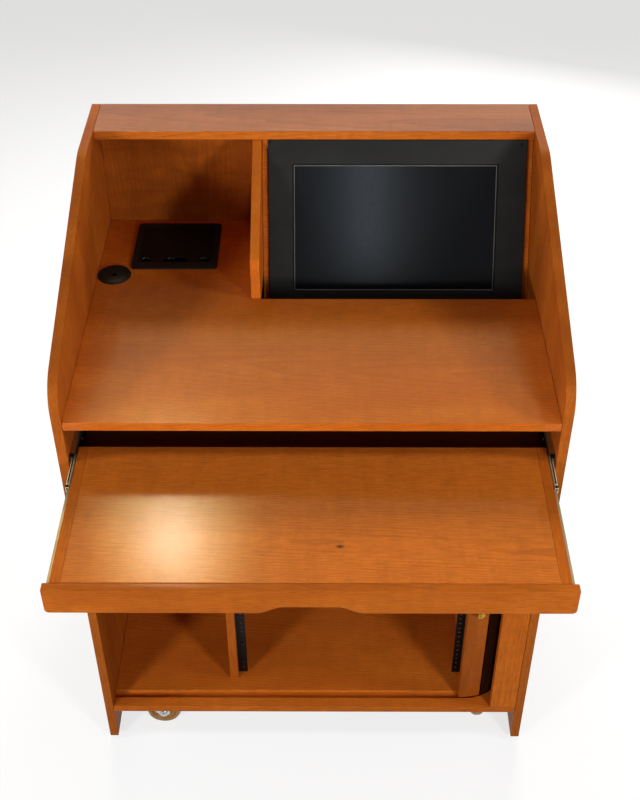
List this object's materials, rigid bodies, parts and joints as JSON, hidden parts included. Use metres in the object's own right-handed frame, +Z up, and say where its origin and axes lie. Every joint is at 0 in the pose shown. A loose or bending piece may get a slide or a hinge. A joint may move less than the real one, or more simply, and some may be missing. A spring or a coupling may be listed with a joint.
{
  "type": "multimedia lectern",
  "caption": "Wooden multimedia lectern with a sloped monitor bay, a pull-out keyboard tray on telescopic slides, a tambour-fronted rack cabinet and swivel casters.",
  "frame": {"origin": "on the floor, under the middle of the overall box with the tray pulled out", "axes": "+Z up, -Y towards the user, +X to the user's right"},
  "size_m": [0.902, 0.998, 1.18],
  "materials": {
    "cherry_veneer": "satin lacquered cherry veneer on board",
    "black_bezel": "satin black",
    "screen_glass": "dark anti-glare display",
    "black_plastic": "matte black",
    "zinc_steel": "bright zinc plate",
    "black_steel": "satin black",
    "polished_brass": "polished",
    "chrome": "bright chrome",
    "amber_tyre": "satin amber tread"
  },
  "bodies": {
    "cabinet": {"side_panel_left": "cherry_veneer", "side_panel_right": "cherry_veneer", "top_panel": "cherry_veneer", "upper_back_panel": "cherry_veneer", "upper_divider": "cherry_veneer", "work_surface": "cherry_veneer", "tray_bay_back": "cherry_veneer", "monitor_panel": "cherry_veneer", "monitor_cleat_left": "cherry_veneer", "monitor_cleat_right": "cherry_veneer", "cabinet_deck": "cherry_veneer", "bottom_panel": "cherry_veneer", "lower_divider": "cherry_veneer", "pocket_wall": "cherry_veneer", "front_stile": "cherry_veneer", "rear_access_panel": "cherry_veneer", "monitor_bezel": "black_bezel", "monitor_screen": "screen_glass", "monitor_housing": "black_plastic", "cable_box_body": "black_plastic", "grommet_ring": "black_plastic", "slide_left_cabinet_member": "zinc_steel", "slide_right_cabinet_member": "zinc_steel", "rack_rail_left": "black_steel", "rack_rail_right": "black_steel", "caster_front_left_plate": "chrome", "caster_front_right_plate": "chrome", "caster_rear_left_plate": "chrome", "caster_rear_right_plate": "chrome"},
    "tray": {"tray_front_rail": "cherry_veneer", "tray_panel": "cherry_veneer", "tray_side_left": "cherry_veneer", "tray_side_right": "cherry_veneer", "slide_left_drawer_member": "zinc_steel", "slide_right_drawer_member": "zinc_steel"},
    "slide_left_middle": {"slide_left_middle_member": "zinc_steel"},
    "slide_right_middle": {"slide_right_middle_member": "zinc_steel"},
    "cable_lid": {"cable_box_lid": "black_plastic"},
    "grommet_cover": {"grommet_cap": "black_plastic"},
    "tambour_front": {"tambour_lead_rail": "cherry_veneer", "tambour_knob": "polished_brass", "tambour_front_curve": "cherry_veneer"},
    "tambour_side": {"tambour_side_run": "cherry_veneer"},
    "tambour_rear_turn": {"tambour_rear_curve": "cherry_veneer"},
    "tambour_tail": {"tambour_rear_run": "cherry_veneer"},
    "caster_front_left": {"caster_front_left_fork": "chrome"},
    "caster_front_left_roller": {"caster_front_left_wheel": "amber_tyre"},
    "caster_front_right": {"caster_front_right_fork": "chrome"},
    "caster_front_right_roller": {"caster_front_right_wheel": "amber_tyre"},
    "caster_rear_left": {"caster_rear_left_fork": "chrome"},
    "caster_rear_left_roller": {"caster_rear_left_wheel": "amber_tyre"},
    "caster_rear_right": {"caster_rear_right_fork": "chrome"},
    "caster_rear_right_roller": {"caster_rear_right_wheel": "amber_tyre"}
  },
  "joints": [
    {"name": "tray_slide", "type": "slide", "parent": "cabinet", "child": "tray", "axis": [0, 1, 0], "range_m": [0, 0.298]},
    {"name": "slide_left_middle_run", "type": "slide", "parent": "cabinet", "child": "slide_left_middle", "axis": [0, 1, 0], "range_m": [0, 0.083]},
    {"name": "slide_right_middle_run", "type": "slide", "parent": "cabinet", "child": "slide_right_middle", "axis": [0, 1, 0], "range_m": [0, 0.083]},
    {"name": "cable_lid_hinge", "type": "hinge", "parent": "cabinet", "child": "cable_lid", "pos_m": [-0.28198, 0.411, 0.9377], "axis": [-1, 0, 0], "range_deg": [0, 100]},
    {"name": "grommet_turn", "type": "hinge", "parent": "cabinet", "child": "grommet_cover", "pos_m": [-0.3985, 0.24446, 0.938], "axis": [0, 0, 1], "continuous": true},
    {"name": "tambour_roll", "type": "hinge", "parent": "cabinet", "child": "tambour_front", "pos_m": [0.323, -0.078, 0.443], "axis": [0, 0, 1], "range_deg": [-8, 14]},
    {"name": "tambour_side_slide", "type": "slide", "parent": "cabinet", "child": "tambour_side", "axis": [0, 1, 0], "range_m": [-0.0127, 0.0222]},
    {"name": "tambour_rear_roll", "type": "hinge", "parent": "cabinet", "child": "tambour_rear_turn", "pos_m": [0.323, 0.343, 0.443], "axis": [0, 0, 1], "range_deg": [-8.05, 14.05]},
    {"name": "tambour_tail_slide", "type": "slide", "parent": "cabinet", "child": "tambour_tail", "axis": [-1, 0, 0], "range_m": [-0.0127, 0.0222]},
    {"name": "caster_front_left_swivel", "type": "hinge", "parent": "cabinet", "child": "caster_front_left", "pos_m": [-0.363, -0.1454, 0.085], "axis": [0, 0, 1], "continuous": true},
    {"name": "caster_front_left_spin", "type": "hinge", "parent": "caster_front_left", "child": "caster_front_left_roller", "pos_m": [-0.335, -0.1454, 0.0375], "axis": [0, 1, 0], "continuous": true},
    {"name": "caster_front_right_swivel", "type": "hinge", "parent": "cabinet", "child": "caster_front_right", "pos_m": [0.363, -0.1454, 0.085], "axis": [0, 0, 1], "continuous": true},
    {"name": "caster_front_right_spin", "type": "hinge", "parent": "caster_front_right", "child": "caster_front_right_roller", "pos_m": [0.363, -0.1174, 0.0375], "axis": [1, 0, 0], "continuous": true},
    {"name": "caster_rear_left_swivel", "type": "hinge", "parent": "cabinet", "child": "caster_rear_left", "pos_m": [-0.363, 0.411, 0.085], "axis": [0, 0, 1], "continuous": true},
    {"name": "caster_rear_left_spin", "type": "hinge", "parent": "caster_rear_left", "child": "caster_rear_left_roller", "pos_m": [-0.363, 0.439, 0.0375], "axis": [1, 0, 0], "continuous": true},
    {"name": "caster_rear_right_swivel", "type": "hinge", "parent": "cabinet", "child": "caster_rear_right", "pos_m": [0.363, 0.411, 0.085], "axis": [0, 0, 1], "continuous": true},
    {"name": "caster_rear_right_spin", "type": "hinge", "parent": "caster_rear_right", "child": "caster_rear_right_roller", "pos_m": [0.363, 0.439, 0.0375], "axis": [1, 0, 0], "continuous": true}
  ],
  "couplings": [
    {"joint": "slide_left_middle_run", "follows": "tray_slide", "ratio": 0.2785},
    {"joint": "slide_right_middle_run", "follows": "tray_slide", "ratio": 0.2785},
    {"joint": "tambour_side_slide", "follows": "tambour_roll", "m_per_rad": 0.09},
    {"joint": "tambour_rear_roll", "follows": "tambour_roll", "ratio": 1},
    {"joint": "tambour_tail_slide", "follows": "tambour_roll", "m_per_rad": 0.09}
  ]
}
